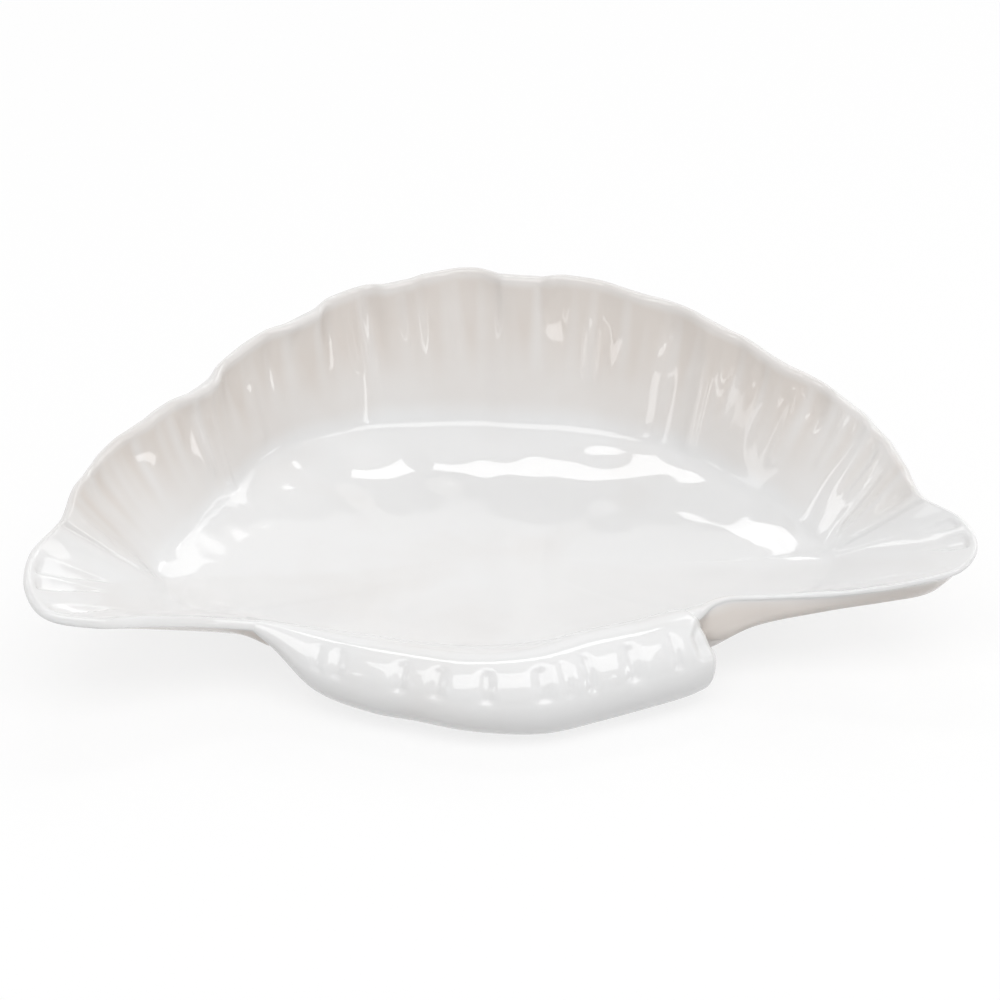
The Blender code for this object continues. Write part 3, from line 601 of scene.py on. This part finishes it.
speck = addNode(tree, "ShaderNodeTexVoronoi", {"Vector": place, "Scale": 1 / (bisqueLook["speck"] * mm)})
speckFade, speckEnd = bisqueLook["speckEdge"]
dots = addNode(tree, "ShaderNodeMapRange",
               {"Value": speck.outputs["Distance"], "From Min": speckFade, "From Max": speckEnd,
                "To Min": bisqueLook["speckStrength"], "To Max": 0.0})
clay = addNode(tree, "ShaderNodeMix", {0: dots.outputs[0], 6: linear(bisqueLook["clay"]),
                                       7: linear(bisqueLook["grog"])}, data_type="RGBA")
wander = addNode(tree, "ShaderNodeTexNoise", {"Vector": place, "Scale": 1 / (bisqueLook["lineWander"] * mm)})
height = addNode(tree, "ShaderNodeSeparateXYZ", {0: place})
level = addNode(tree, "ShaderNodeMath",
                {0: wander.outputs["Fac"], 1: bisqueLook["wanderHeight"] * mm, 2: height.outputs["Z"]},
                operation="MULTIPLY_ADD")
lineStart, lineFull = bisqueLook["line"]
toast = addNode(tree, "ShaderNodeMapRange",
                {"Value": level.outputs[0], "From Min": lineStart * mm, "From Max": lineFull * mm})
tinted = addNode(tree, "ShaderNodeMix", {0: toast.outputs[0], 6: clay.outputs[2],
                                         7: linear(bisqueLook["toasted"])}, data_type="RGBA")
sandy = addNode(tree, "ShaderNodeBump",
                {"Height": sand.outputs["Fac"], "Strength": bisqueLook["sandStrength"],
                 "Distance": bisqueLook["sandHeight"] * mm})
smoothest, roughest = bisqueLook["roughness"]
dull = addNode(tree, "ShaderNodeMapRange",
               {"Value": sand.outputs["Fac"], "To Min": smoothest, "To Max": roughest})
tree.links.new(tinted.outputs[2], shader.inputs["Base Color"])
tree.links.new(sandy.outputs[0], shader.inputs["Normal"])
tree.links.new(dull.outputs[0], shader.inputs["Roughness"])
footRing.data.materials.append(bisque)
print("materials: white glaze, bare bisque")


# camera of the photograph: metres away, degrees round and up, and millimetres of aim height, lens and sensor
view = {"distance": 0.70, "azimuth": -6, "elevation": 30, "aim": 19.2, "lens": 126.7, "sensor": 36}


# unit vector from the dish, at an azimuth from straight back towards the right and at an elevation
def direction(azimuth, elevation):
    turn, tilt = math.radians(azimuth), math.radians(elevation)
    return np.array([math.sin(turn) * math.cos(tilt), math.cos(turn) * math.cos(tilt), math.sin(tilt)])


def placeCamera(s):
    data = bpy.data.cameras.new("camera")
    data.lens, data.sensor_width = s["lens"], s["sensor"]
    camera = bpy.data.objects.new("camera", data)
    aim = floorMiddle + (0, 0, s["aim"] * mm)
    camera.location = aim + direction(180 - s["azimuth"], s["elevation"]) * s["distance"]
    camera.rotation_euler = (math.radians(90 - s["elevation"]), 0, math.radians(s["azimuth"]))
    bpy.context.scene.collection.objects.link(camera)
    bpy.context.scene.camera = camera


placeCamera(view)

# softboxes: azimuth from straight back, elevation, metres away, width, height, radiance
softboxes = {
    "backSoftbox": (4, 61, 2.0, 0.87, 0.38, 4.0),
    "rightBackSoftbox": (64, 31, 2.0, 1.20, 0.18, 1.8),
    "leftBackSoftbox": (-39, 27.5, 2.0, 0.22, 0.16, 2.4),
    "cornerSoftbox": (36, 36.5, 2.0, 1.10, 0.42, 1.6),
    "highCornerSoftbox": (52, 45, 2.0, 0.70, 0.22, 1.8),
    "blobSoftbox": (-7.0, 42.8, 2.0, 0.12, 0.20, 3.2),
    "frontSoftbox": (180, 62, 1.8, 2.10, 0.92, 2.95),
    "leftSoftbox": (-88, 26, 1.8, 0.26, 0.22, 1.7),
    "rightSoftbox": (101.5, 15.5, 1.8, 0.54, 0.24, 3.5),
    "leftBackStrip": (-57, 25, 1.9, 0.08, 0.30, 2.6),
    "frontLeftStrip": (-127, 31, 1.8, 0.12, 0.24, 2.6),
    "frontRightStrip": (148, 28, 1.8, 0.06, 0.36, 3.5),
    "leftStrip": (-114, 28.5, 1.8, 0.15, 0.30, 2.6),
}
lampAim = floorMiddle + (0, 0, 15 * mm)    # the point in the dish that they all face


# an area lamp aimed at the dish; its watts are the radiance times pi and its area
def addSoftbox(name, azimuth, elevation, distance, width, height, radiance):
    data = bpy.data.lights.new(name, "AREA")
    data.shape = "RECTANGLE"
    data.size, data.size_y = width, height
    data.energy = radiance * math.pi * width * height
    lamp = bpy.data.objects.new(name, data)
    away = direction(azimuth, elevation)
    lamp.location = lampAim + away * distance
    lamp.rotation_euler = Vector(-away).to_track_quat("-Z", "Y").to_euler()
    bpy.context.scene.collection.objects.link(lamp)


for name, values in softboxes.items():
    addSoftbox(name, *values)

floorMesh = bpy.data.meshes.new("floor")
floorMesh.from_pydata([(-3, -3, 0), (3, -3, 0), (3, 3, 0), (-3, 3, 0)], [], [(0, 1, 2, 3)])
floor = bpy.data.objects.new("floor", floorMesh)
bpy.context.scene.collection.objects.link(floor)


# 1 where a ray comes straight from the camera, or by way of a mirror or glass
def seenRay(tree):
    path = addNode(tree, "ShaderNodeLightPath", {}).outputs
    either = addNode(tree, "ShaderNodeMath", {0: path["Is Camera Ray"], 1: path["Is Glossy Ray"]},
                     operation="MAXIMUM")
    return addNode(tree, "ShaderNodeMath", {0: either.outputs[0], 1: path["Is Transmission Ray"]},
                   operation="MAXIMUM").outputs[0]


# white paper floor: matt, lifted towards white where it is seen, so that only a light shadow stays
paperLook = {"unseen": 0.68, "seen": 0.95, "lift": 0.8, "roughness": 0.9}
paper, tree, shader = newMaterial("white paper")
seen = seenRay(tree)
sheet = addNode(tree, "ShaderNodeMix", {0: seen, 6: grey(paperLook["unseen"]), 7: grey(paperLook["seen"])},
                data_type="RGBA")
tree.links.new(sheet.outputs[2], shader.inputs["Base Color"])
shader.inputs["Roughness"].default_value = paperLook["roughness"]
shader.inputs["Specular IOR Level"].default_value = 0
white = addNode(tree, "ShaderNodeEmission", {"Color": grey(1), "Strength": 1.0})
share = addNode(tree, "ShaderNodeMath", {0: seen, 1: paperLook["lift"]}, operation="MULTIPLY")
lifted = addNode(tree, "ShaderNodeMixShader",
                 {0: share.outputs[0], 1: shader.outputs[0], 2: white.outputs[0]})
tree.links.new(lifted.outputs[0], tree.nodes["Material Output"].inputs["Surface"])
floorMesh.materials.append(paper)

# studio: a grey room with a pale backdrop, dark above the backdrop, and white where the camera sees it
studio = {
    "room": 0.5, "backdrop": 0.8, "dark": 0.04, "ceiling": 0.4,
    # where the backdrop, the dark and the ceiling start and are full: how far a ray of length 1 goes back,
    # up and up
    "behind": (0.0, 0.4), "above": (0.67, 0.69), "overhead": (0.90, 0.97),
}
world = bpy.data.worlds.new("studio")
bpy.context.scene.world = world
world.use_nodes = True
tree = world.node_tree
ray = addNode(tree, "ShaderNodeTexCoord", {}).outputs["Generated"]
axes = addNode(tree, "ShaderNodeSeparateXYZ", {0: ray}).outputs
shares = {}
for name, axis in (("behind", "Y"), ("above", "Z"), ("overhead", "Z")):
    start, full = studio[name]
    shares[name] = addNode(tree, "ShaderNodeMapRange",
                           {"Value": axes[axis], "From Min": start, "From Max": full},
                           interpolation_type="SMOOTHSTEP").outputs[0]
backdrop = addNode(tree, "ShaderNodeMix",
                   {0: shares["above"], 6: grey(studio["backdrop"]), 7: grey(studio["dark"])},
                   data_type="RGBA")
sides = addNode(tree, "ShaderNodeMix",
                {0: shares["behind"], 6: grey(studio["room"]), 7: backdrop.outputs[2]}, data_type="RGBA")
room = addNode(tree, "ShaderNodeMix",
               {0: shares["overhead"], 6: sides.outputs[2], 7: grey(studio["ceiling"])}, data_type="RGBA")
path = addNode(tree, "ShaderNodeLightPath", {}).outputs
shown = addNode(tree, "ShaderNodeMix", {0: path["Is Camera Ray"], 6: room.outputs[2], 7: grey(1)},
                data_type="RGBA")
tree.links.new(shown.outputs[2], tree.nodes["Background"].inputs["Color"])
tree.nodes["Background"].inputs["Strength"].default_value = 1.0
bpy.context.scene.view_settings.view_transform = "Standard"
print("studio:", len(softboxes), "softboxes")
